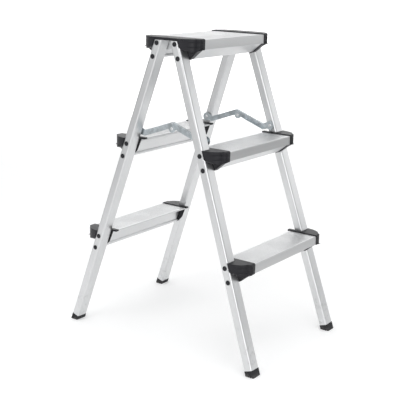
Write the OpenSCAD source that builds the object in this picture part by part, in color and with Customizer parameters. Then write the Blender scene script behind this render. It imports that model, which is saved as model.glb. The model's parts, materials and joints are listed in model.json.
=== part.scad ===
// Double-sided folding step ladder. Two aluminium A-frames, each with two stiles
// and three treads, turn on a pivot under the platform and are held apart by a
// folding stay on each side. Millimetres, +Z up, origin on the floor at the middle
// of the four feet. +X is right, -Y is front. Each piece is drawn once, for the
// right rear corner, and mirrored to the others.

/* [Frame] */
// Height of the platform above the floor
platform_h = 700; // [690:1:715]
// Height of the middle treads
mid_h = 470; // [465:1:475]
// Height of the lowest treads
low_h = 238; // [230:1:245]
// Lean of each frame towards the middle, in degrees
lean = 18.8; // [18.4:0.1:19.2]
// Splay of the stiles towards the platform, in degrees
splay = 2.02; // [1.8:0.02:2.2]
// Width across the stiles at the platform
top_width = 312.6; // [300:0.2:330]

/* [Stiles] */
// Depth of the stile tube, front to back
tube_d = 20; // [20:0.5:21]
// Width of the stile tube, side to side
tube_w = 30; // [28:0.5:32]
// Wall of the stile tube
tube_wall = 1.5; // [1.2:0.1:2]
// Radius of the two corners on the climbing side
outer_r = 5; // [3:0.5:6]
// Radius of the two corners that face the other frame
inner_r = 3; // [2.5:0.5:4]

/* [Treads] */
// Depth of a tread, from its lip to its inner edge
tread_depth = 74.5; // [74:0.5:76]
// How far the lip stands out from the stile
lip_reach = 43.6; // [43:0.2:44]
// Height of the lip
lip_h = 20.5; // [19:0.5:22]
// Thickness of the tread plate
plate_t = 3; // [2.6:0.2:3.4]
// Thickness of the lip, web and sloping panel
panel_t = 2; // [1.6:0.1:2.2]
// Height of a tread at its web
web_h = 41; // [40:0.5:42]
// Pitch of the grip grooves in the tread plate
groove_pitch = 4.6; // [4:0.1:6]

/* [End caps] */
// How far a cap's rim stands above the tread
rim_h = 2.3; // [1.6:0.1:2.6]
// How far a cap's sleeve reaches along the tread
sleeve_w = 10.25; // [8:0.25:12]
// How far the cap's front corner stands outside the stile's inner face
corner_x = 7.7; // [6:0.1:9]
// How far the rim of a low or middle cap runs past the tread's inner edge
tab_reach = 4; // [2:0.5:4]

/* [Fasteners] */
// Distance from the tread's top to its upper screw, along the stile
screw_a = 11; // [10.5:0.5:11.5]
// Distance from the tread's top to its lower screw, along the stile
screw_b = 42.5; // [42:0.5:43]
// Radius of a cover plug's head
plug_r = 5.4; // [5:0.1:6]

/* [Stays] */
// Height of the stay's end pivots
stay_h = 487; // [484:1:490]
// Rise of the stay's middle joint above its end pivots
stay_rise = 15; // [11:1:15]
// Distance from the stile to the stay
stay_gap = 2.8; // [2.8:0.1:3.6]

/* [Feet] */
// Height of a shoe along the climbing side of the stile
shoe_h = 17.5; // [16:0.5:20]
// How far a shoe stands out from the tube all round
shoe_grow = 0.6; // [0.3:0.1:1]

/* [Hidden] */
$fn = 48;

right = 1;
left = -1;
rear = 1;
front = -1;

aluminium = [0.78, 0.79, 0.80];
plastic = [0.10, 0.10, 0.11];
rubber = [0.06, 0.06, 0.06];
zinc = [0.62, 0.66, 0.68];

far = 400;                              // longer than any cut needs
slip = 0.05;                            // running clearance round a pin
gap = 0.1;                              // between pieces that touch
centre_gap = 0.35;                      // half the gap between the platform's two treads
top_y = tread_depth + centre_gap;       // lip of the platform from the middle
foot_y = top_y - lip_reach + platform_h * tan(lean) / cos(splay);
foot_x = top_width / 2 + platform_h * tan(splay);
cap_plate_t = 4;                        // cap between tread and stile
top_plate_t = 6.5;                      // the same on the platform, deeper for the hinge
stile_cut = 3.7;                        // stile's end below the platform

// Stile faces in the row's frame at height z: climbing side and inner side
function stile_y(z) = foot_y - z * tan(lean) / cos(splay);
function inner_x(z) = foot_x - tube_w / cos(splay) - z * tan(splay);
// Distance along the stile at height z, for a line in the middle of its depth
function along(z) = (z / cos(splay) + tube_d / 2 * sin(lean)) / cos(lean);
function tread_z(level) = level == "low" ? low_h : level == "mid" ? mid_h : platform_h;
function end_plate(level) = level == "top" ? top_plate_t : cap_plate_t;
// Distance behind the lip, for a line p deep in the stile, d below the tread's top
function behind_lip(p, d) = lip_reach + p / cos(lean) - d * tan(lean);
// Points on a curve from a to c that leaves and arrives along the lines to b
function curve(a, b, c, steps = 10) =
    [for (i = [0:steps]) let (t = i / steps) (1 - t) * (1 - t) * a + 2 * t * (1 - t) * b + t * t * c];

// Moves a shape made for the right rear corner to any corner
module corner(side, end) {
    if (side < 0) mirror([1, 0, 0]) corner(right, end) children();
    else if (end < 0) mirror([0, 1, 0]) children();
    else children();
}

// Stile axes: x outwards, y to the climbing side, z up the stile, zero on the outer edge
module along_stile() {
    translate([foot_x, foot_y, 0]) rotate([lean, -splay, 0]) children();
}

// A section drawn in y and z, run along x from x0 to x1
module along_x(x0, x1) {
    translate([x0, 0, 0]) rotate([90, 0, 90]) linear_extrude(x1 - x0) children();
}

// Everything between two planes parallel to the right stile's inner face
module beside_stile(from, to, low = -10, high = 740) {
    translate([0, far, 0]) rotate([90, 0, 0]) linear_extrude(2 * far)
        polygon([[inner_x(low) + from, low], [inner_x(low) + to, low],
                 [inner_x(high) + to, high], [inner_x(high) + from, high]]);
}

module tube_outline(grow) {
    ro = outer_r + grow;
    ri = inner_r + grow;
    w = tube_w + 2 * grow;
    d = tube_d + 2 * grow;
    translate([-tube_w - grow, -tube_d - grow]) {
        translate([0, ri]) square([w, d - ri - ro]);
        translate([ri, 0]) square([w - 2 * ri, d / 2]);
        translate([ro, d / 2 - 1]) square([w - 2 * ro, d / 2 + 1]);
        for (x = [ri, w - ri]) translate([x, ri]) circle(ri);
        for (x = [ro, w - ro]) translate([x, d - ro]) circle(ro);
    }
}

module screw_places(levels = ["low", "mid", "top"]) {
    for (level = levels, d = [screw_a, screw_b]) {
        z = tread_z(level) - d * cos(lean);
        translate([0, stile_y(z) - tube_d / 2 / cos(lean), z]) children();
    }
}

/* ---- stiles ---- */
shoe_pin_l = 29;                        // shoe pin up the stile
shoe_pin_r = 1.9;
screw_r = 2.45;
plug_stem_r = 4.1;

module stile(side, end) {
    color(aluminium) corner(side, end) difference() {
        intersection() {
            along_stile() translate([0, 0, shoe_h + gap]) linear_extrude(platform_h * 1.15) difference() {
                tube_outline(0);
                tube_outline(-tube_wall);
            }
            translate([0, 0, -far]) cube([far, far, far + platform_h - stile_cut]);
        }
        for (level = ["low", "mid", "top"], d = [screw_a, screw_b])
            along_stile() translate([-tube_wall * 2, -tube_d / 2, along(tread_z(level)) - d])
                rotate([0, 90, 0]) cylinder(h = tube_wall * 4, r = plug_stem_r + slip);
        intersection() {
            screw_places() rotate([0, 90, 0]) cylinder(h = far, r = screw_r + 0.15);
            beside_stile(-2, tube_wall * 2);
        }
        along_stile() translate([-tube_w - 2, -tube_d / 2, shoe_pin_l])
            rotate([0, 90, 0]) cylinder(h = 5, r = shoe_pin_r + slip);
        if (end == rear) stay_bore(rivet_r + slip);
    }
}

/* ---- treads ---- */
module tread_outline() {
    tip = behind_lip(0, web_h);
    foot_p = tube_d / 2 + 1;
    polygon(concat(
        [[0, -lip_h]],
        curve([0, -2.5], [0, 0], [2.5, 0], 5),
        [[tread_depth - 1, 0], [tread_depth, -1],
         [tread_depth, -plate_t - 0.6], [tread_depth - 2, -plate_t - 0.6],
         [tread_depth - 2.6, -plate_t],
         [behind_lip(foot_p, plate_t), -plate_t],
         [tip + foot_p * cos(lean), -web_h - foot_p * sin(lean)],
         [tip, -web_h],
         [panel_t + 0.6, -lip_h + panel_t],
         [panel_t + 0.6, -lip_h]]));
}

module tread_hollow() {
    tip = behind_lip(0, web_h);
    web_p = tube_d / 2 - 1;
    polygon([[panel_t, -plate_t - 0.6], [panel_t, -lip_h + panel_t * 1.6],
             [tip + 1.4, -web_h + 1.5],
             [tip + web_p * cos(lean) - 0.6, -web_h + 2 - web_p * sin(lean)],
             [behind_lip(web_p, plate_t), -plate_t]]);
}

port_r = 4;

module screw_ports(r) {
    for (d = [screw_a, screw_b])
        translate([-far, behind_lip(tube_d / 2, d * cos(lean)), -d * cos(lean)])
            rotate([0, 90, 0]) cylinder(h = 2 * far, r = r);
}

module tread_bar() {
    groove_w = 1.4;
    groove_deep = 0.5;
    first = 6;
    grooves = floor((tread_depth - 2 * first) / groove_pitch);
    difference() {
        union() {
            along_x(-far, far) difference() {
                tread_outline();
                tread_hollow();
            }
            screw_ports(port_r);
        }
        screw_ports(2.5);
        for (i = [0:grooves])
            translate([-far - 1, first + i * groove_pitch, -groove_deep])
                cube([2 * far + 2, groove_w, 2]);
    }
}

module in_tread(level) {
    z = tread_z(level);
    translate([0, stile_y(z) + lip_reach, z]) mirror([0, 1, 0]) children();
}

// Shallow seat across a tread's end, under the cap's sleeve
module cap_seat(level) {
    deep = 0.1;
    z = tread_z(level);
    translate([inner_x(z) - sleeve_w - 0.5, 0, z - deep]) cube([far, far, 1]);
}

module tread(level, end) {
    color(aluminium) corner(right, end) difference() {
        intersection() {
            in_tread(level) tread_bar();
            beside_stile(-far, -end_plate(level));
            mirror([1, 0, 0]) beside_stile(-far, -end_plate(level));
        }
        cap_seat(level);
        mirror([1, 0, 0]) cap_seat(level);
    }
}

/* ---- end caps ---- */
cap_front = 1.3;                        // cap in front of the lip
cap_low = 1;                            // cap below the lip
cap_wing = 1.5;                         // thickness of the plate beside the stile

function cap_tip() = [behind_lip(0, web_h) - 1.2, -web_h - 1.4];
function cap_outline(tab, deep) = concat(
    [[-cap_front, -lip_h - cap_low]],
    curve([-cap_front, -2], [-cap_front, rim_h], [3.5, rim_h], 6),
    [[tread_depth + tab, rim_h], [tread_depth + tab, -1.7]],
    deep ? [[tread_depth - 5, -1.7], [behind_lip(23, 29), -29], [behind_lip(16, web_h), -web_h]]
         : [[tread_depth - 12, -1.7], [behind_lip(tube_d / 2, plate_t), -plate_t]],
    [cap_tip() + 11 * [cos(lean), -sin(lean)], cap_tip(), [3.8, -lip_h - cap_low]]);

module cap_front_face(low) {
    polygon(concat([[-cap_front, -lip_h - cap_low]],
        curve([-cap_front, -2], [-cap_front, rim_h], [3.5, rim_h], 6),
        [[70, rim_h], [70, -low], [8, -low]]));
}

// The part of a cap in front of the stile: a rounded band, and a wedge below it
module fairing(level) {
    wrap = 1.5;                         // how far it goes round the stile's outer corner
    edge = tube_w + 0.6;
    reach_s = lip_reach + 10;
    band_low = 25;
    z = tread_z(level);
    intersection() {
        along_stile() translate([-2 * tube_w, -wrap, 0]) cube([3 * tube_w, far, 2 * far]);
        union() {
            intersection() {
                in_tread(level) translate([inner_x(z), 0, -60]) linear_extrude(70)
                    polygon(concat([[-2, reach_s], [-2, -cap_front]],
                        curve([corner_x - 8, -cap_front], [corner_x, -cap_front], [corner_x + 1, 5], 6),
                        curve([corner_x + 1.5, 6.5], [25, 10], [edge, 40]), [[edge, reach_s]]));
                in_tread(level) along_x(-far, far) cap_front_face(band_low);
                translate([inner_x(z), far, z]) rotate([90, 0, 0]) linear_extrude(2 * far)
                    polygon(concat([[-3, rim_h + 1], [-3, -band_low]],
                        curve([17, -band_low], [27, -23], [edge + 0.5, -15], 6),
                        [[edge + 0.5, rim_h + 1]]));
            }
            intersection() {
                in_tread(level) along_x(-far, far) polygon(cap_outline(0, false));
                translate([inner_x(z), far, z]) rotate([90, 0, 0]) linear_extrude(2 * far)
                    polygon([[-3, -band_low + 4], [corner_x, -band_low + 4], [corner_x, -band_low],
                             [2.5, -web_h - 1], [2.5, -web_h - 8], [-3, -web_h - 8]]);
            }
        }
    }
}

module cap(level, side, end) {
    tab = level == "top" ? 0 : tab_reach;
    z = tread_z(level);
    color(plastic) corner(side, end) difference() {
        union() {
            intersection() {
                in_tread(level) along_x(-far, far) polygon(cap_outline(tab, false));
                beside_stile(-sleeve_w, -gap);
            }
            if (level != "top") intersection() {
                in_tread(level) along_x(-far, far) polygon(cap_outline(tab, true));
                beside_stile(-cap_wing, -gap);
            }
            fairing(level);
            if (level == "top") intersection() {
                in_tread(level) translate([0, 30, -stile_cut + 0.2])
                    cube([far, tread_depth - 30, stile_cut - 0.2 + rim_h]);
                beside_stile(-1, tube_w);
            }
        }
        intersection() {
            in_tread(level) {
                along_x(-far, far) tread_outline();
                screw_ports(port_r + slip);
            }
            beside_stile(-far, -end_plate(level));
        }
        intersection() {
            along_stile() linear_extrude(platform_h * 1.2) tube_outline(0.03);
            translate([0, 0, -far]) cube([far, far, far + platform_h - stile_cut + 0.2]);
        }
        screw_places([level]) rotate([0, 90, 0]) cylinder(h = far, r = screw_r + 0.15);
        if (level == "top") hinge_pocket();
    }
}

/* ---- shoes ---- */
shoe_plug = 24;                         // shoe inside the tube

module shoe(side, end) {
    color(rubber) corner(side, end) difference() {
        union() {
            intersection() {
                along_stile() translate([0, 0, -10]) linear_extrude(shoe_h + 10) tube_outline(shoe_grow);
                translate([0, 0, 0]) cube([far, far, 60]);
            }
            along_stile() translate([0, 0, shoe_h - 1]) linear_extrude(shoe_plug + 1)
                tube_outline(-tube_wall - slip);
        }
        for (i = [-1:1]) translate([0, foot_y - tube_d / 2 / cos(lean) + i * 6 - 1, -1])
            cube([far, 2, 2.2]);
        along_stile() translate([-tube_w - 2, -tube_d / 2, shoe_pin_l])
            rotate([0, 90, 0]) cylinder(h = 9, r = shoe_pin_r + slip);
    }
}

module shoe_pin(side, end) {
    color(zinc) corner(side, end) along_stile()
        translate([-tube_w, -tube_d / 2, shoe_pin_l]) rotate([0, 90, 0]) {
            translate([0, 0, -1]) cylinder(h = 1 - gap, r1 = 2.6, r2 = 3.4);
            translate([0, 0, -0.5]) cylinder(h = 7, r = shoe_pin_r);
        }
}

/* ---- screws and their cover plugs ---- */
module plugs(side, end) {
    color(plastic) corner(side, end) along_stile()
        for (level = ["low", "mid", "top"], d = [screw_a, screw_b])
            translate([0, -tube_d / 2, along(tread_z(level)) - d]) rotate([0, 90, 0]) {
                translate([0, 0, -4]) cylinder(h = 4.5, r = plug_stem_r);
                translate([0, 0, gap]) cylinder(h = 0.8, r = plug_r);
                translate([0, 0, gap + 0.8]) cylinder(h = 0.7, r1 = plug_r, r2 = plug_r - 1.6);
            }
}

module screws(side, end) {
    head_x = tube_wall + 0.25;
    color(zinc) corner(side, end)
        for (level = ["low", "mid", "top"], d = [screw_a, screw_b]) {
            z = tread_z(level) - d * cos(lean);
            translate([inner_x(z), stile_y(z) - tube_d / 2 / cos(lean), z]) rotate([0, 90, 0]) {
                translate([0, 0, head_x]) cylinder(h = 3, r = 4);
                translate([0, 0, -32]) cylinder(h = 32 + head_x + 1, r = screw_r);
            }
        }
}

/* ---- platform hinge ---- */
hinge_z = platform_h - 14;
hinge_r = 3;
ear_r = 8.5;
leaf_t = 2;
leaf_in = 2.5;                          // leaf inside the stile's edges
leaf_low = 54;                          // leaf's low end, along the stile from the platform
rear_ear_x = inner_x(hinge_z) - 2.4;
front_ear_x = rear_ear_x - leaf_t - 0.2;

module hinge_leaf(side, end) {
    ear_x = end == rear ? rear_ear_x : front_ear_x;
    color(zinc) corner(side, end) difference() {
        union() {
            along_stile() translate([-tube_w - leaf_t, -tube_d + leaf_in, along(platform_h) - leaf_low])
                cube([leaf_t - gap, tube_d - 2 * leaf_in, leaf_low - 7]);
            along_x(ear_x, ear_x + leaf_t) {
                translate([0, hinge_z]) circle(ear_r);
                polygon([[0, hinge_z + ear_r], [17, hinge_z + 6], [24, hinge_z - 14], [0, hinge_z - ear_r]]);
            }
            along_x(ear_x, rear_ear_x + leaf_t)
                polygon([[13, hinge_z + 5], [17, hinge_z + 5], [22, hinge_z - 12], [13, hinge_z - 8]]);
        }
        translate([0, 0, hinge_z]) rotate([0, 90, 0]) cylinder(h = far, r = hinge_r + slip);
        screw_places(["top"]) rotate([0, 90, 0]) cylinder(h = far, r = screw_r + 0.15);
    }
}

module hinge_pocket() {
    clear = 0.4;
    intersection() {
        beside_stile(-leaf_t * 2 - 1.1, 0.1);
        union() {
            along_stile() translate([-far, -tube_d + leaf_in - clear, along(platform_h) - leaf_low - clear])
                cube([far, tube_d - 2 * leaf_in + 2 * clear, leaf_low + 6]);
            along_x(0, far) polygon([[-1, platform_h - stile_cut], [20, platform_h - stile_cut],
                [27, hinge_z - 16], [-1, hinge_z - 12]]);
        }
        cube([far, far, platform_h - stile_cut]);
    }
}

module hinge_pin(side) {
    head = 1.4;
    x0 = front_ear_x - 0.15;
    x1 = rear_ear_x + leaf_t + 0.15;
    color(zinc) corner(side, rear) translate([0, 0, hinge_z]) rotate([0, 90, 0]) {
        translate([0, 0, x0 - head]) cylinder(h = head, r = 4.8);
        translate([0, 0, x0 - 0.1]) cylinder(h = x1 - x0 + 0.2, r = hinge_r);
        translate([0, 0, x1]) cylinder(h = head, r1 = 4.8, r2 = 4);
    }
}

/* ---- folding stays ---- */
steel_t = 1.2;
rivet_r = 2.6;
knuckle_r = 2.5;
stay_end_r = 10.5;
ear_end_r = 9;
link_deep = 7.5;                        // how far a link's edges turn in from its plate
stay_y = stile_y(stay_h) - tube_d / 2 / cos(lean);
link_l = sqrt(stay_y * stay_y + stay_rise * stay_rise);
link_tilt = asin(stay_rise / link_l);
stay_x = inner_x(stay_h) - stay_gap;
front_x = stay_x - steel_t - gap;       // the front link lies inside the rear one
flange_from = 14;

// Upper and lower edges of a link, at a distance from its end pivot
function link_top(d) = (d - 18) * 0.1825;
function link_low(d) = link_top(d) - 12.2;

// Hole for the end rivet, through the stile's inner wall
module stay_bore(r) {
    intersection() {
        translate([0, stay_y, stay_h]) rotate([0, 90, 0]) cylinder(h = far, r = r);
        beside_stile(-2, tube_wall * 2);
    }
}

// A strip along a link's upper or lower edge, turned in from its plate
module flange(x1, edge_from, edge_to) {
    along_x(x1 - link_deep, x1) polygon([edge_from, edge_to, edge_to - [0, steel_t], edge_from - [0, steel_t]]);
}

// A pressed channel, open inwards, from its end pivot at zero to the knuckle along -y.
// Its upper corner butts on the other link's, which stops the ladder opening further.
module link(x1) {
    butt = link_l + 14 * tan(link_tilt) - 0.3;
    low_end = link_l - ear_end_r - 2.5;
    difference() {
        union() {
            along_x(x1 - steel_t, x1) {
                circle(stay_end_r);
                translate([-link_l, 0]) circle(ear_end_r);
                polygon([[0, stay_end_r], [-8, 6.8], [-flange_from - 4, link_top(flange_from + 4)],
                         [-butt, link_top(butt)], [-link_l - 0.5, 6], [-link_l, 0],
                         [-low_end, link_low(low_end)], [-flange_from, link_low(flange_from)],
                         [-5, -9.3]]);
            }
            flange(x1, [-flange_from - 4, link_top(flange_from + 4)], [-butt, link_top(butt)]);
            flange(x1, [-flange_from, link_low(flange_from) + steel_t],
                   [-low_end, link_low(low_end) + steel_t]);
        }
        rotate([0, 90, 0]) cylinder(h = far, r = rivet_r + slip);
        translate([0, -link_l, 0]) rotate([0, 90, 0]) cylinder(h = far, r = knuckle_r + slip);
    }
}

module stay_link(side, end) {
    color(zinc) corner(side, end) translate([0, stay_y, stay_h]) rotate([-link_tilt, 0, 0])
        link(end == rear ? stay_x : front_x);
}

// The rear spacer is fixed to the stile. The front one turns with the front link and
// stays just clear of the stile, because the stay's loop is open there.
module stay_spacer(side, end) {
    x0 = (end == rear ? stay_x : front_x) + gap;
    color(zinc) corner(side, end) intersection() {
        translate([x0, stay_y, stay_h]) rotate([0, 90, 0]) difference() {
            cylinder(h = 20, r = 6);
            translate([0, 0, -1]) cylinder(h = 22, r = rivet_r + slip);
        }
        beside_stile(-20, end == rear ? -gap : -0.4);
    }
}

module stay_rivet(side, end) {
    ear_x = (end == rear ? stay_x : front_x) - steel_t;
    tail_x = end == rear ? inner_x(stay_h) + tube_wall + 2 : inner_x(stay_h) - 0.8;
    color(zinc) corner(side, end) translate([0, stay_y, stay_h]) rotate([0, 90, 0]) {
        translate([0, 0, ear_x - 1.6]) cylinder(h = 1.5, r1 = 3, r2 = 4.2);
        translate([0, 0, ear_x - 0.2]) cylinder(h = tail_x - ear_x + 0.2, r = rivet_r);
        if (end == rear) translate([0, 0, inner_x(stay_h) + tube_wall + 0.4]) cylinder(h = 1.6, r = 4.6);
    }
}

module stay_knuckle(side) {
    inner = front_x - steel_t;
    color(zinc) corner(side, rear) translate([0, 0, stay_h + stay_rise]) rotate([0, 90, 0]) {
        translate([0, 0, inner - 1.5]) cylinder(h = 1.4, r1 = 3, r2 = 4);
        translate([0, 0, inner - 0.2]) cylinder(h = stay_x - inner + 0.4, r = knuckle_r);
        translate([0, 0, stay_x + 0.1]) cylinder(h = 1.4, r1 = 4, r2 = 3);
    }
}

stile(left, front);  // stile_front_left
stile(right, front);  // stile_front_right
stile(left, rear);  // stile_rear_left
stile(right, rear);  // stile_rear_right
tread("low", front);  // tread_front_low
tread("mid", front);  // tread_front_mid
tread("top", front);  // tread_front_top
tread("low", rear);  // tread_rear_low
tread("mid", rear);  // tread_rear_mid
tread("top", rear);  // tread_rear_top
cap("low", left, front);  // cap_front_low_left
cap("low", right, front);  // cap_front_low_right
cap("mid", left, front);  // cap_front_mid_left
cap("mid", right, front);  // cap_front_mid_right
cap("top", left, front);  // cap_front_top_left
cap("top", right, front);  // cap_front_top_right
cap("low", left, rear);  // cap_rear_low_left
cap("low", right, rear);  // cap_rear_low_right
cap("mid", left, rear);  // cap_rear_mid_left
cap("mid", right, rear);  // cap_rear_mid_right
cap("top", left, rear);  // cap_rear_top_left
cap("top", right, rear);  // cap_rear_top_right
shoe(left, front);  // shoe_front_left
shoe(right, front);  // shoe_front_right
shoe(left, rear);  // shoe_rear_left
shoe(right, rear);  // shoe_rear_right
shoe_pin(left, front);  // shoe_pin_front_left
shoe_pin(right, front);  // shoe_pin_front_right
shoe_pin(left, rear);  // shoe_pin_rear_left
shoe_pin(right, rear);  // shoe_pin_rear_right
plugs(left, front);  // plugs_front_left
plugs(right, front);  // plugs_front_right
plugs(left, rear);  // plugs_rear_left
plugs(right, rear);  // plugs_rear_right
screws(left, front);  // screws_front_left
screws(right, front);  // screws_front_right
screws(left, rear);  // screws_rear_left
screws(right, rear);  // screws_rear_right
hinge_leaf(left, front);  // hinge_leaf_front_left
hinge_leaf(right, front);  // hinge_leaf_front_right
hinge_leaf(left, rear);  // hinge_leaf_rear_left
hinge_leaf(right, rear);  // hinge_leaf_rear_right
hinge_pin(left);  // hinge_pin_left
hinge_pin(right);  // hinge_pin_right
stay_link(left, front);  // stay_link_front_left
stay_link(right, front);  // stay_link_front_right
stay_link(left, rear);  // stay_link_rear_left
stay_link(right, rear);  // stay_link_rear_right
stay_spacer(left, front);  // stay_spacer_front_left
stay_spacer(right, front);  // stay_spacer_front_right
stay_spacer(left, rear);  // stay_spacer_rear_left
stay_spacer(right, rear);  // stay_spacer_rear_right
stay_rivet(left, front);  // stay_rivet_front_left
stay_rivet(right, front);  // stay_rivet_front_right
stay_rivet(left, rear);  // stay_rivet_rear_left
stay_rivet(right, rear);  // stay_rivet_rear_right
stay_knuckle(left);  // stay_knuckle_left
stay_knuckle(right);  // stay_knuckle_right
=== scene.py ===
"""Double-sided folding step ladder: satin aluminium stiles and treads, moulded black tread ends,
rubber shoes and zinc-plated stays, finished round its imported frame. Metres, +Z up."""
import json
import math

import bmesh
import bpy
from mathutils import Matrix, Vector


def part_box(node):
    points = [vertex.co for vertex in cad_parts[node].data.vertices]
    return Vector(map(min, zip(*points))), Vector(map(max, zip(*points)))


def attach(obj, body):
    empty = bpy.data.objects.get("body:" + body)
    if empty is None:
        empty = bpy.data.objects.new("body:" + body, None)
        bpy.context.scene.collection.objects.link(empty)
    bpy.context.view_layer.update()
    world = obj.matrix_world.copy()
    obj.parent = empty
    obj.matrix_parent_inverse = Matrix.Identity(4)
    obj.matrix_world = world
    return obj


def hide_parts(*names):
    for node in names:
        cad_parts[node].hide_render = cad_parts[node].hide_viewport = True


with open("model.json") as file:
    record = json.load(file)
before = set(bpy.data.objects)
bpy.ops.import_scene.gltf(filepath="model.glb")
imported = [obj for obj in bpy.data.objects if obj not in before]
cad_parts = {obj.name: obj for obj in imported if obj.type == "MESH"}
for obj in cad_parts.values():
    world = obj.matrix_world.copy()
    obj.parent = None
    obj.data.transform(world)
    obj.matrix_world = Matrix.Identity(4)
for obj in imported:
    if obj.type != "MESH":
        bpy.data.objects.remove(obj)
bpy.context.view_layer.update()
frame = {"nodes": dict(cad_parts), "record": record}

bl_info = {
    "name": "Folding Step Ladder",
    "version": (1, 0, 0),
    "blender": (4, 5, 0),
    "location": "View3D > Sidebar > Step Ladder",
    "description": "Finishes a double-sided folding step ladder and sets it on a studio floor",
    "category": "Object",
}

LEVELS = ("low", "mid", "top")
TREAD_TOPS = [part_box("tread_rear_" + level)[1].z for level in LEVELS]
TREAD_LIPS = [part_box("tread_rear_" + level)[1].y for level in LEVELS]
STILE_LOW, STILE_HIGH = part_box("stile_rear_right")
STILE_WIDTH, STILE_DEPTH = 0.030, 0.0211    # of the leaning tube, measured level

MERGE_DISTANCE = 4e-6       # corners closer than this are one
SLIVER = 2e-6               # edges shorter than this are dropped
FLAT_ANGLE = 0.6            # degrees within which neighbouring faces are one flat face
SMOOTH_ANGLE = 32           # degrees past which shading breaks at an edge
SEAT_DEPTH = 0.0002         # more than the depth of a cap's seat in a tread's top
CAP_GROOVES = (0.005, 0.015)    # depths of a cap's grooves below its tread's top
GROOVE_HALF, GROOVE_DEEP = 0.0008, 0.0008
GROOVED_REACH = 0.024       # how far back from a cap's front its grooves run

FLOOR_HALF = 40.0
BACKDROP_HALF = (3.2, 1.6)  # half its width, half its height
GLOW_NEAR, GLOW_FAR = 1.0, 1.7      # where the floor's middle glow ends and a side's is full
PANELS = (                  # name, place, point it faces, size, setting that holds its watts
    ("overhead_panel", (-0.3, -0.2, 2.3), (0, 0, 0.3), 2.4, "top_light"),
    ("left_panel", (-2.2, 0.6, 1.3), (0, 0, 0.35), 1.6, "side_light"),
    ("front_panel", (2.3, -1.8, 0.95), (0, 0, 0.45), 1.2, "front_light"),
    ("key_panel", (-2.5, -3.1, 1.35), (0, 0, 0.4), 2.6, "key_light"),
)


def body_of(node):
    """The frame's body that a node belongs to."""
    return next(b for b, nodes in frame["record"]["behaviour"]["bodies"].items() if node in nodes)


def nodes_named(*starts):
    """The frame's nodes whose names start in one of these ways, in order."""
    return sorted(n for n in frame["nodes"] if n.startswith(starts))


def stile_axes():
    """Unit vectors of the right rear stile: up its length, across its width, across its depth."""
    run = STILE_HIGH - STILE_LOW
    up = Vector((STILE_WIDTH - run.x, STILE_DEPTH - run.y, run.z)).normalized()
    across = Vector((1, 0, 0))
    across = (across - up * across.dot(up)).normalized()
    return up, across, up.cross(across)


# ---- shader building -------------------------------------------------------------------------

class Value:
    """A shader socket that takes part in sums: an operator adds the Math node for it."""

    def __init__(self, shader, socket):
        self.shader, self.socket = shader, socket

    def _math(self, operation, *others):
        return self.shader.node("ShaderNodeMath", {"operation": operation}, *others).value(0)

    def __add__(self, other):
        return self._math("ADD", self, other)

    def __sub__(self, other):
        return self._math("SUBTRACT", self, other)

    def __mul__(self, other):
        return self._math("MULTIPLY", self, other)

    def __rsub__(self, other):
        return self._math("SUBTRACT", other, self)

    def __abs__(self):
        return self._math("ABSOLUTE", self)

    __radd__, __rmul__ = __add__, __mul__

    def min(self, other):
        return self._math("MINIMUM", self, other)

    def max(self, other):
        return self._math("MAXIMUM", self, other)

    def step(self, low, high, at_low=0.0, at_high=1.0):
        """Runs smoothly from at_low to at_high as the value goes from low to high."""
        settings = {"interpolation_type": "SMOOTHSTEP", "clamp": True}
        made = self.shader.node("ShaderNodeMapRange", settings, self, low, high, at_low, at_high)
        return made.value(0)


class Made:
    """A node just made, and its outputs."""

    def __init__(self, shader, node):
        self.shader, self.node = shader, node

    def value(self, output):
        return Value(self.shader, self.node.outputs[output])


class Shader:
    """Nodes of one material that ends in a Principled shader."""

    def __init__(self, name, **constants):
        self.material = bpy.data.materials.new(name)
        self.material.use_nodes = True
        self.nodes, self.links = self.material.node_tree.nodes, self.material.node_tree.links
        self.surface = self.nodes["Principled BSDF"]
        for socket, constant in constants.items():
            self.surface.inputs[socket.replace("_", " ")].default_value = constant
        self.place = self.node("ShaderNodeTexCoord", {}).value("Object")

    def node(self, kind, settings, *inputs, **named):
        """Adds a node: its settings first, then its sockets by number or by name."""
        made = self.nodes.new(kind)
        for key, setting in settings.items():
            setattr(made, key, setting)
        for key, given in list(enumerate(inputs)) + list(named.items()):
            self.join(made.inputs[key.replace("_", " ") if isinstance(key, str) else key], given)
        return Made(self, made)

    def join(self, socket, given):
        """Links a value to a socket, or sets the socket to a constant."""
        if isinstance(given, Value):
            self.links.new(given.socket, socket)
        else:
            socket.default_value = given

    def feed(self, socket, given):
        self.join(self.surface.inputs[socket], given)

    def parts(self):
        """The three coordinates of a point on the surface."""
        made = self.node("ShaderNodeSeparateXYZ", {}, self.place)
        return made.value(0), made.value(1), made.value(2)

    def vector(self, x, y, z):
        return self.node("ShaderNodeCombineXYZ", {}, x, y, z).value(0)

    def along(self, vector, direction):
        """How far a vector goes in a fixed direction."""
        return self.node("ShaderNodeVectorMath", {"operation": "DOT_PRODUCT"},
                         vector, tuple(direction)).value("Value")

    def noise(self, scale, detail=2.0, roughness=0.5, at=None):
        return self.node("ShaderNodeTexNoise", {}, Vector=at or self.place, Scale=scale,
                         Detail=detail, Roughness=roughness).value(0)

    def mix(self, factor, first, second):
        made = self.node("ShaderNodeMix", {"data_type": "RGBA"}, factor)
        self.join(made.node.inputs[6], first)
        self.join(made.node.inputs[7], second)
        return made.value(2)

    def bump(self, height, distance, strength):
        return self.node("ShaderNodeBump", {}, Strength=strength, Distance=distance,
                         Height=height).value(0)


def shade(colour, factor):
    """A colour made lighter or darker."""
    return (colour[0] * factor, colour[1] * factor, colour[2] * factor, 1.0)


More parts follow.
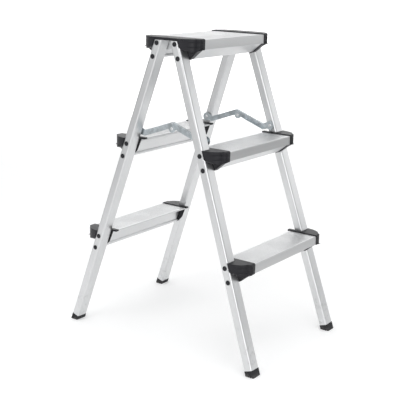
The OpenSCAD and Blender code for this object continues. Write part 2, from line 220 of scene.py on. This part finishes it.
def drawn_aluminium(shader, grain_at, finish):
    """Satin anodised extrusion: die lines along its length, faint handling marks over them."""
    lines = shader.noise(1.0, 3.0, 0.6, grain_at)
    broad = shader.noise(9.0, 3.0, 0.55)
    marks = shader.noise(46.0, 5.0, 0.7).step(0.58, 0.75)
    tone = shader.mix(lines, shade(finish.aluminium, 0.90), shade(finish.aluminium, 1.06))
    tone = shader.mix(broad.step(0.3, 0.7, 0.0, 0.35), tone, shade(finish.aluminium, 0.88))
    rough = finish.aluminium_roughness + (lines - 0.5) * 0.10 + (broad - 0.5) * 0.08 + marks * 0.06
    return lines, tone, rough


def stile_material(finish):
    """Aluminium with its grain up the stile. Both sides and both frames share it."""
    shader = Shader("stile_aluminium", Metallic=1.0, Specular_IOR_Level=0.5)
    up, across, through = stile_axes()
    x, y, z = shader.parts()
    corner = shader.vector(abs(x), abs(y), z)
    grain_at = shader.vector(shader.along(corner, across * 900),
                             shader.along(corner, through * 900), shader.along(corner, up * 5))
    lines, tone, rough = drawn_aluminium(shader, grain_at, finish)
    scuffed = z.step(0.02, 0.16, 1.0, 0.0) * shader.noise(70.0, 4.0, 0.7).step(0.5, 0.72)
    tone = shader.mix(scuffed * 0.5, tone, shade(finish.aluminium, 0.62))
    shader.feed("Base Color", tone)
    shader.feed("Roughness", rough + scuffed * 0.15)
    shader.feed("Normal", shader.bump(lines, 0.00006, 0.5))
    return shader.material


def tread_material(finish):
    """Aluminium with its grain along the tread, fine ribs and worn crests on its plate, and painted
    shade in the valleys of its grooves and on its lip faces.
    """
    shader = Shader("tread_aluminium", Metallic=1.0, Specular_IOR_Level=0.5)
    x, y, z = shader.parts()
    grain_at = shader.vector(x * 4, y * 1100, z * 1100)
    lines, tone, rough = drawn_aluminium(shader, grain_at, finish)
    below = abs(z - TREAD_TOPS[0]).min(abs(z - TREAD_TOPS[1])).min(abs(z - TREAD_TOPS[2]))
    crest = below.step(0.00005, 0.0003, 1.0, 0.0)
    # The band 0.3 to 1.1 mm below a tread's top, where the bottoms of its grooves lie, is darkened
    # (painted shade) and made rougher.
    valley = below.step(0.0003, 0.00045) * below.step(0.0007, 0.0011, 1.0, 0.0)
    ribs = shader.node("ShaderNodeTexWave", {"wave_type": "BANDS", "bands_direction": "Y"},
                       Vector=shader.place, Scale=130.0, Distortion=0.0).value(1)
    worn = shader.noise(16.0, 4.0, 0.6).step(0.42, 0.62) * crest
    # Painted shade: the treads' lip faces, from 1 to 2 mm below the top downwards, are darkened to
    # 0.71 of the aluminium.
    out = abs(y)
    lip_face_shade = [abs(out - lip).step(0.0, 0.0008, 1.0, 0.0) for lip in TREAD_LIPS]
    lip = lip_face_shade[0].max(lip_face_shade[1]).max(lip_face_shade[2]) * below.step(0.001, 0.002)
    tone = shader.mix(lip, tone, shade(finish.aluminium, 0.71))
    # Painted shade in the grooves' valleys.
    tone = shader.mix(valley * 0.45, tone, shade(finish.aluminium, 0.45))
    tone = shader.mix(worn * 0.5, tone, shade(finish.aluminium, 1.12))
    shader.feed("Base Color", tone)
    shader.feed("Roughness", rough + valley * 0.2 - worn * 0.06)
    shader.feed("Normal", shader.bump(ribs * crest * 0.6 + lines * 0.25, 0.00012, 0.6))
    return shader.material


def plastic_material(finish):
    """Moulded black polypropylene with a fine spark-eroded grain and a few pale scuffs."""
    shader = Shader("moulded_plastic", Metallic=0.0, IOR=1.49, Specular_IOR_Level=0.3)
    grain = shader.noise(2600.0, 2.0, 0.6)
    flow = shader.noise(24.0, 3.0, 0.5)
    drawn_out = shader.node("ShaderNodeMapping", {}, shader.place, Rotation=(0.2, 0.1, 0.7),
                            Scale=(60, 500, 300)).value(0)
    scuffs = shader.noise(1.0, 4.0, 0.65, drawn_out)
    scuffs = scuffs.step(0.60, 0.74) * flow.step(0.45, 0.6)
    tone = shader.mix(flow, shade(finish.plastic, 0.85), shade(finish.plastic, 1.2))
    tone = shader.mix(scuffs * 0.35, tone, shade(finish.plastic, 5.0))
    shader.feed("Base Color", tone)
    shader.feed("Roughness", finish.plastic_roughness + (grain - 0.5) * 0.12 + (flow - 0.5) * 0.1
                + scuffs * 0.12)
    shader.feed("Normal", shader.bump(grain, 0.00008, 0.35))
    return shader.material


def rubber_material(finish):
    """Matt shoe rubber, dusty and rubbed grey near the floor."""
    shader = Shader("shoe_rubber", Metallic=0.0, IOR=1.5, Specular_IOR_Level=0.3)
    z = shader.parts()[2]
    grain = shader.noise(1500.0, 3.0, 0.7)
    dust = z.step(0.0, 0.012, 1.0, 0.0) * shader.noise(120.0, 4.0, 0.7).step(0.35, 0.7)
    tone = shader.mix(grain, shade(finish.rubber, 0.8), shade(finish.rubber, 1.3))
    shader.feed("Base Color", shader.mix(dust * 0.5, tone, (0.16, 0.155, 0.15, 1)))
    shader.feed("Roughness", 0.66 + grain * 0.15 + dust * 0.12)
    shader.feed("Normal", shader.bump(grain, 0.0001, 0.5))
    return shader.material


def zinc_material(finish):
    """Bluish zinc plate on pressed steel: soft spangle, rolling lines and duller patches."""
    shader = Shader("zinc_plate", Metallic=1.0, Specular_IOR_Level=0.5)
    x, y, z = shader.parts()
    spangle = shader.node("ShaderNodeTexVoronoi", {"feature": "F1"}, Vector=shader.place,
                          Scale=260.0).value("Distance")
    rolled = shader.noise(1.0, 3.0, 0.6, shader.vector(x * 1200, y * 30, z * 900))
    patches = shader.noise(60.0, 4.0, 0.6)
    tone = shader.mix(patches.step(0.3, 0.7), shade(finish.zinc, 0.72), shade(finish.zinc, 1.25))
    tone = shader.mix(spangle * 0.4, tone, shade(finish.zinc, 0.7))
    shader.feed("Base Color", tone)
    shader.feed("Roughness", 0.30 + patches * 0.14 + (rolled - 0.5) * 0.1)
    shader.feed("Normal", shader.bump(rolled + spangle * 0.4, 0.00005, 0.5))
    return shader.material


def steel_material(finish):
    """Bright plated rivets, pins and screws."""
    shader = Shader("bright_steel", Metallic=1.0, Specular_IOR_Level=0.5)
    fine = shader.noise(900.0, 3.0, 0.6)
    dull = shader.noise(150.0, 3.0, 0.6)
    shader.feed("Base Color", shader.mix(dull, shade(finish.steel, 0.8), shade(finish.steel, 1.08)))
    shader.feed("Roughness", 0.20 + fine * 0.12 + dull * 0.08)
    shader.feed("Normal", shader.bump(fine, 0.00003, 0.4))
    return shader.material


MAKERS = {
    "stile": stile_material,
    "tread": tread_material,
    "plastic": plastic_material,
    "rubber": rubber_material,
    "zinc": zinc_material,
    "steel": steel_material,
}
_made = {}


def material(kind, context):
    """The material of a kind, made once from the settings."""
    if kind not in _made:
        _made[kind] = MAKERS[kind](context.scene.ladder_finish)
    return _made[kind]


# ---- mesh building ---------------------------------------------------------------------------

def tread_top(node):
    """The height of the tread that a tread or a cap belongs to."""
    return TREAD_TOPS[LEVELS.index(node.split("_")[2])]


def make_whole(bm):
    """Joins doubled corners and makes each flat face one face."""
    bmesh.ops.remove_doubles(bm, verts=bm.verts, dist=MERGE_DISTANCE)
    bmesh.ops.dissolve_degenerate(bm, dist=SLIVER, edges=bm.edges)
    bmesh.ops.dissolve_limit(bm, angle_limit=math.radians(FLAT_ANGLE),
                             use_dissolve_boundaries=False, verts=bm.verts, edges=bm.edges)
    bm.normal_update()


def merged(node):
    """A copy of a frame node's mesh, made whole."""
    bm = bmesh.new()
    bm.from_mesh(frame["nodes"][node].data)
    make_whole(bm)
    return bm


def level_seats(bm, node):
    """Fills the shallow seats under the caps, which no one sees, level with a tread's top."""
    top = tread_top(node)
    for vert in bm.verts:
        if 0 < top - vert.co.z < SEAT_DEPTH:
            vert.co.z = top
    make_whole(bm)


def mark_for_bevel(bm, degrees):
    """Gives every edge sharper than an angle the weight that the Bevel modifier reads."""
    limit = math.radians(degrees)
    weight = bm.edges.layers.float.new("bevel_weight_edge")
    for edge in bm.edges:
        if edge.is_manifold and edge.calc_face_angle(0.0) > limit:
            edge[weight] = 1.0


def piece_from(bm, node, kind, context, bevel, segments):
    """Makes the finished object that stands for a frame node."""
    name = node + "_finished"
    mesh = bpy.data.meshes.new(name)
    bm.to_mesh(mesh)
    bm.free()
    if "custom_normal" in mesh.attributes:
        mesh.attributes.remove(mesh.attributes["custom_normal"])
    mesh.materials.clear()
    mesh.materials.append(material(kind, context))
    mesh.shade_smooth()
    mesh.set_sharp_from_angle(angle=math.radians(SMOOTH_ANGLE))
    piece = bpy.data.objects.new(name, mesh)
    context.scene.collection.objects.link(piece)
    rounding = piece.modifiers.new("rounded_edges", "BEVEL")
    rounding.width, rounding.segments = bevel, segments
    rounding.limit_method, rounding.use_clamp_overlap = "WEIGHT", False
    rounding.harden_normals, rounding.profile = True, 0.5
    rounding.miter_outer = "MITER_ARC"
    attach(piece, body_of(node))
    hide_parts(node)
    return piece


def rounded_copies(context, starts, kind, bevel, segments=3, degrees=35):
    """Finished pieces for every node of a group: merged copies with rounded edges."""
    nodes = nodes_named(*starts)
    if not nodes:
        raise RuntimeError("no frame nodes are named " + ", ".join(starts))
    for node in nodes:
        bm = merged(node)
        if node.startswith("tread_"):
            level_seats(bm, node)
        mark_for_bevel(bm, degrees)
        if node.startswith("cap_"):
            cut_grooves(bm, node)
        piece_from(bm, node, kind, context, bevel, segments)


def cut_grooves(bm, node):
    """Presses shallow level grooves into a cap's outer faces, below its rim."""
    top = tread_top(node)
    low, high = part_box(node)
    end = -1 if "front" in node else 1
    lip = high.y if end > 0 else -low.y
    for depth in CAP_GROOVES:
        for offset in (-GROOVE_HALF, 0.0, GROOVE_HALF):
            bmesh.ops.bisect_plane(bm, geom=bm.verts[:] + bm.edges[:] + bm.faces[:], dist=1e-7,
                                   plane_co=(0, 0, top - depth + offset), plane_no=(0, 0, 1))
        bm.normal_update()
        for vert in bm.verts:
            if abs(vert.co.z - top + depth) > 1e-6:
                continue
            outward = sum((f.normal for f in vert.link_faces), Vector())
            outward.z = 0
            if outward.length > 0.1 and lip - vert.co.y * end < GROOVED_REACH:
                vert.co -= outward.normalized() * GROOVE_DEEP


# ---- settings --------------------------------------------------------------------------------

class LADDER_PG_finish(bpy.types.PropertyGroup):
    """Colours and gloss of the ladder's materials."""
    aluminium: bpy.props.FloatVectorProperty(
        name="Aluminium", description="Colour of the stiles and treads", subtype="COLOR",
        size=3, min=0, max=1, default=(0.71, 0.715, 0.72))
    aluminium_roughness: bpy.props.FloatProperty(
        name="Aluminium roughness", description="How satin the aluminium is", min=0.1, max=0.8,
        default=0.36, subtype="FACTOR")
    plastic: bpy.props.FloatVectorProperty(
        name="Tread ends", description="Colour of the moulded caps and plugs", subtype="COLOR",
        size=3, min=0, max=1, default=(0.012, 0.012, 0.015))
    plastic_roughness: bpy.props.FloatProperty(
        name="Plastic roughness", description="How dull the moulded caps are", min=0.1, max=0.9,
        default=0.42, subtype="FACTOR")
    rubber: bpy.props.FloatVectorProperty(
        name="Shoes", description="Colour of the rubber shoes", subtype="COLOR",
        size=3, min=0, max=1, default=(0.02, 0.02, 0.022))
    zinc: bpy.props.FloatVectorProperty(
        name="Zinc plate", description="Colour of the stays and hinge leaves", subtype="COLOR",
        size=3, min=0, max=1, default=(0.53, 0.575, 0.60))
    steel: bpy.props.FloatVectorProperty(
        name="Bright steel", description="Colour of the rivets, pins and screws", subtype="COLOR",
        size=3, min=0, max=1, default=(0.78, 0.79, 0.80))


class LADDER_PG_edges(bpy.types.PropertyGroup):
    """Edge radii of the finished pieces."""
    cap: bpy.props.FloatProperty(
        name="Tread ends", description="Radius of a moulded cap's edges", unit="LENGTH",
        min=0.0, max=0.002, default=0.0007)
    metal: bpy.props.FloatProperty(
        name="Pressed metal", description="Radius of the edges of stays and hinge leaves",
        unit="LENGTH", min=0.0, max=0.001, default=0.00025)
    extrusion: bpy.props.FloatProperty(
        name="Treads", description="Radius of a tread's edges", unit="LENGTH",
        min=0.0, max=0.001, default=0.0003)
    shoe: bpy.props.FloatProperty(
        name="Shoes", description="Radius of a shoe's edges", unit="LENGTH",
        min=0.0, max=0.002, default=0.0008)
    rivet: bpy.props.FloatProperty(
        name="Rivets and plugs", description="Radius of the edges of rivet and plug heads",
        unit="LENGTH", min=0.0, max=0.001, default=0.0004)


class LADDER_PG_studio(bpy.types.PropertyGroup):
    """Camera, light and floor."""
    camera_place: bpy.props.FloatVectorProperty(
        name="Camera place", description="Where the camera stands", subtype="TRANSLATION",
        unit="LENGTH", size=3, default=(-1.6748, -1.2049, 0.8581))
    camera_turn: bpy.props.FloatProperty(
        name="Turn", description="Camera's heading, from +Y towards +X", subtype="ANGLE",
        default=math.radians(53.965))
    camera_tilt: bpy.props.FloatProperty(
        name="Tilt", description="Camera's tilt above the level", subtype="ANGLE",
        default=math.radians(-14.807))
    camera_roll: bpy.props.FloatProperty(
        name="Roll", description="Camera's roll to the right", subtype="ANGLE",
        default=math.radians(1.296))
    lens: bpy.props.FloatProperty(
        name="Lens", description="Focal length on a 36 mm sensor, in millimetres",
        min=20, max=200, default=80.81)
    sky: bpy.props.FloatProperty(
        name="Room light", description="Strength of the even light from all round",
        min=0, max=5, default=0.48)
    top_light: bpy.props.FloatProperty(
        name="Overhead light", description="Strength of the large overhead panel, in watts",
        min=0, max=500, default=22)
    side_light: bpy.props.FloatProperty(
        name="Side light", description="Strength of the panel on the left, in watts",
        min=0, max=500, default=12)
    front_light: bpy.props.FloatProperty(
        name="Front light", description="Strength of the low panel at the right front, in watts",
        min=0, max=500, default=4.7)
    key_light: bpy.props.FloatProperty(
        name="Key light", description="Strength of the panel behind the camera, in watts",
        min=0, max=500, default=45)
    floor_glow: bpy.props.FloatProperty(
        name="Floor glow", description="Light that the floor gives near the ladder",
        min=0, max=2, default=0.24)
    left_glow: bpy.props.FloatProperty(
        name="Left floor glow", description="Light that the floor gives out to the left",
        min=0, max=2, default=0.04)
    right_glow: bpy.props.FloatProperty(
        name="Right floor glow", description="Light that the floor gives out to the right",
        min=0, max=2, default=0.0)
    sweep_glow: bpy.props.FloatProperty(
        name="Backdrop glow", description="Light that the backdrop behind the ladder gives",
        min=0, max=3, default=0.71)
    sweep_away: bpy.props.FloatProperty(
        name="Backdrop distance", description="How far the backdrop stands behind the ladder",
        unit="LENGTH", min=2.4, max=10, default=3.0)


# ---- operators -------------------------------------------------------------------------------

class LADDER_OT_stiles(bpy.types.Operator):
    """Finish the four stiles with drawn aluminium"""
    bl_idname = "ladder.stiles"
    bl_label = "Stiles"

    def execute(self, context):
        for node in nodes_named("stile_"):
            mesh = frame["nodes"][node].data
            mesh.materials.clear()
            mesh.materials.append(material("stile", context))
        return {"FINISHED"}


class LADDER_OT_treads(bpy.types.Operator):
    """Make the six ribbed treads"""
    bl_idname = "ladder.treads"
    bl_label = "Treads"

    def execute(self, context):
        rounded_copies(context, ["tread_"], "tread",
                       context.scene.ladder_edges.extrusion, segments=2, degrees=40)
        return {"FINISHED"}


class LADDER_OT_end_caps(bpy.types.Operator):
    """Make the twelve moulded caps on the treads' ends"""
    bl_idname = "ladder.end_caps"
    bl_label = "End caps"

    def execute(self, context):
        rounded_copies(context, ["cap_"], "plastic",
                       context.scene.ladder_edges.cap)
        return {"FINISHED"}


class LADDER_OT_plugs(bpy.types.Operator):
    """Make the round cover plugs in the stiles' outer sides"""
    bl_idname = "ladder.plugs"
    bl_label = "Cover plugs"

    def execute(self, context):
        rounded_copies(context, ["plugs_"], "plastic",
                       context.scene.ladder_edges.rivet, degrees=20)
        return {"FINISHED"}


class LADDER_OT_shoes(bpy.types.Operator):
    """Make the four rubber shoes"""
    bl_idname = "ladder.shoes"
    bl_label = "Shoes"

    def execute(self, context):
        rounded_copies(context, ["shoe_front", "shoe_rear"], "rubber",
                       context.scene.ladder_edges.shoe)
        return {"FINISHED"}


class LADDER_OT_fasteners(bpy.types.Operator):
    """Make the rivets, pins and screws"""
    bl_idname = "ladder.fasteners"
    bl_label = "Rivets, pins and screws"

    def execute(self, context):
        rounded_copies(context, ["shoe_pin", "stay_rivet", "stay_knuckle", "screws", "hinge_pin"],
                       "steel", context.scene.ladder_edges.rivet, degrees=20)
        return {"FINISHED"}


class LADDER_OT_stays(bpy.types.Operator):
    """Make the folding stays and their spacers"""
    bl_idname = "ladder.stays"
    bl_label = "Stays"

    def execute(self, context):
        rounded_copies(context, ["stay_link", "stay_spacer"], "zinc",
                       context.scene.ladder_edges.metal, segments=2)
        return {"FINISHED"}


class LADDER_OT_hinge(bpy.types.Operator):
    """Make the hinge leaves under the platform"""
    bl_idname = "ladder.hinge"
    bl_label = "Platform hinge"

    def execute(self, context):
        rounded_copies(context, ["hinge_leaf"], "stile",
                       context.scene.ladder_edges.metal, segments=2)
        return {"FINISHED"}


def paper_material(name, glows, turn):
    """Matt studio paper that gives a little light: on the left, along the middle, on the right."""
    shader = Shader(name, Roughness=0.9, Specular_IOR_Level=0.1, Emission_Strength=1.0)
    mottle = shader.noise(3.0, 2.0, 0.5)
    shader.feed("Base Color", shader.mix(mottle, (0.82, 0.82, 0.82, 1), (0.84, 0.84, 0.84, 1)))
    left, middle, right = ((glow, glow, glow, 1) for glow in glows)
    aside = shader.along(shader.place, (math.cos(turn), -math.sin(turn), 0))
    glow = shader.mix(aside.step(-GLOW_FAR, -GLOW_NEAR), left, middle)
    shader.feed("Emission Color", shader.mix(aside.step(GLOW_NEAR, GLOW_FAR), glow, right))
    return shader.material


def add_stage_piece(context, bm, name, glows, turn):
    """Adds a sheet of the studio's paper."""
    mesh = bpy.data.meshes.new(name)
    bm.to_mesh(mesh)
    bm.free()
    mesh.materials.append(paper_material(name, glows, turn))
    piece = bpy.data.objects.new(name, mesh)
    context.scene.collection.objects.link(piece)


def add_panel(context, name, place, target, size, watts):
    """Adds a square soft light that faces a point."""
    light = bpy.data.lights.new(name, "AREA")
    light.shape, light.size, light.energy = "SQUARE", size, watts
    lamp = bpy.data.objects.new(name, light)
    lamp.location = place
    lamp.rotation_euler = (Vector(target) - Vector(place)).to_track_quat("-Z", "Y").to_euler()
    context.scene.collection.objects.link(lamp)


def add_camera(context, studio):
    """Adds the camera, turned, tilted and rolled as the settings say."""
    turn, tilt, roll = studio.camera_turn, studio.camera_tilt, studio.camera_roll
    camera = bpy.data.objects.new("studio_camera", bpy.data.cameras.new("studio_camera"))
    camera.data.lens, camera.data.sensor_width = studio.lens, 36.0
    ahead = Vector((math.sin(turn) * math.cos(tilt), math.cos(turn) * math.cos(tilt),
                    math.sin(tilt)))
    right = Vector((math.cos(turn), -math.sin(turn), 0))
    above = right.cross(ahead)
    right, above = (right * math.cos(roll) + above * math.sin(roll),
                    above * math.cos(roll) - right * math.sin(roll))
    camera.matrix_world = (Matrix.Translation(studio.camera_place)
                           @ Matrix((right, above, -ahead)).transposed().to_4x4())
    context.scene.collection.objects.link(camera)
    context.scene.camera = camera


class LADDER_OT_stage(bpy.types.Operator):
    """Lay the seamless floor and set up the lights and the camera"""
    bl_idname = "ladder.stage"
    bl_label = "Studio"

    def execute(self, context):
        studio = context.scene.ladder_studio
        turn = studio.camera_turn
        floor = bmesh.new()
        bmesh.ops.create_grid(floor, x_segments=8, y_segments=8, size=FLOOR_HALF)
        add_stage_piece(context, floor, "studio_floor",
                        (studio.left_glow, studio.floor_glow, studio.right_glow), turn)
        wall = bmesh.new()
        bmesh.ops.create_grid(wall, x_segments=8, y_segments=4, size=1.0)
        bmesh.ops.scale(wall, vec=(*BACKDROP_HALF, 1), verts=wall.verts)
        bmesh.ops.rotate(wall, matrix=Matrix.Rotation(math.radians(90), 3, "X"), verts=wall.verts)
        bmesh.ops.translate(wall, vec=(0, studio.sweep_away, BACKDROP_HALF[1]), verts=wall.verts)
        bmesh.ops.rotate(wall, matrix=Matrix.Rotation(-turn, 3, "Z"), verts=wall.verts)
        add_stage_piece(context, wall, "studio_backdrop", (studio.sweep_glow,) * 3, turn)

        world = bpy.data.worlds.new("studio_room")
        world.use_nodes = True
        background = world.node_tree.nodes["Background"]
        background.inputs["Color"].default_value = (0.98, 0.99, 1.0, 1)
        background.inputs["Strength"].default_value = studio.sky
        context.scene.world = world
        for name, place, target, size, setting in PANELS:
            add_panel(context, name, place, target, size, getattr(studio, setting))
        add_camera(context, studio)
        context.scene.view_settings.view_transform = "Standard"
        return {"FINISHED"}


OPERATORS = (
    LADDER_OT_stiles,
    LADDER_OT_treads,
    LADDER_OT_end_caps,
    LADDER_OT_plugs,
    LADDER_OT_shoes,
    LADDER_OT_fasteners,
    LADDER_OT_stays,
    LADDER_OT_hinge,
    LADDER_OT_stage,
)


class LADDER_PT_sidebar(bpy.types.Panel):
    """Settings and steps of the step ladder"""
    bl_label = "Step Ladder"
    bl_idname = "LADDER_PT_sidebar"
    bl_space_type = "VIEW_3D"
    bl_region_type = "UI"
    bl_category = "Step Ladder"

    def draw(self, context):
        for group in ("ladder_finish", "ladder_edges", "ladder_studio"):
            settings = getattr(context.scene, group)
            column = self.layout.column(align=True)
            for name in settings.__annotations__:
                column.prop(settings, name)
        for operator in OPERATORS:
            self.layout.operator(operator.bl_idname)


CLASSES = (LADDER_PG_finish, LADDER_PG_edges, LADDER_PG_studio, *OPERATORS, LADDER_PT_sidebar)


def register():
    for cls in CLASSES:
        bpy.utils.register_class(cls)
    bpy.types.Scene.ladder_finish = bpy.props.PointerProperty(type=LADDER_PG_finish)
    bpy.types.Scene.ladder_edges = bpy.props.PointerProperty(type=LADDER_PG_edges)
    bpy.types.Scene.ladder_studio = bpy.props.PointerProperty(type=LADDER_PG_studio)


def unregister():
    del bpy.types.Scene.ladder_studio
    del bpy.types.Scene.ladder_edges
    del bpy.types.Scene.ladder_finish
    for cls in reversed(CLASSES):
        bpy.utils.unregister_class(cls)


def main():
    register()
    for operator in OPERATORS:
        step = operator.bl_idname.split(".")[1]
        getattr(bpy.ops.ladder, step)()


if __name__ == "__main__":
    main()
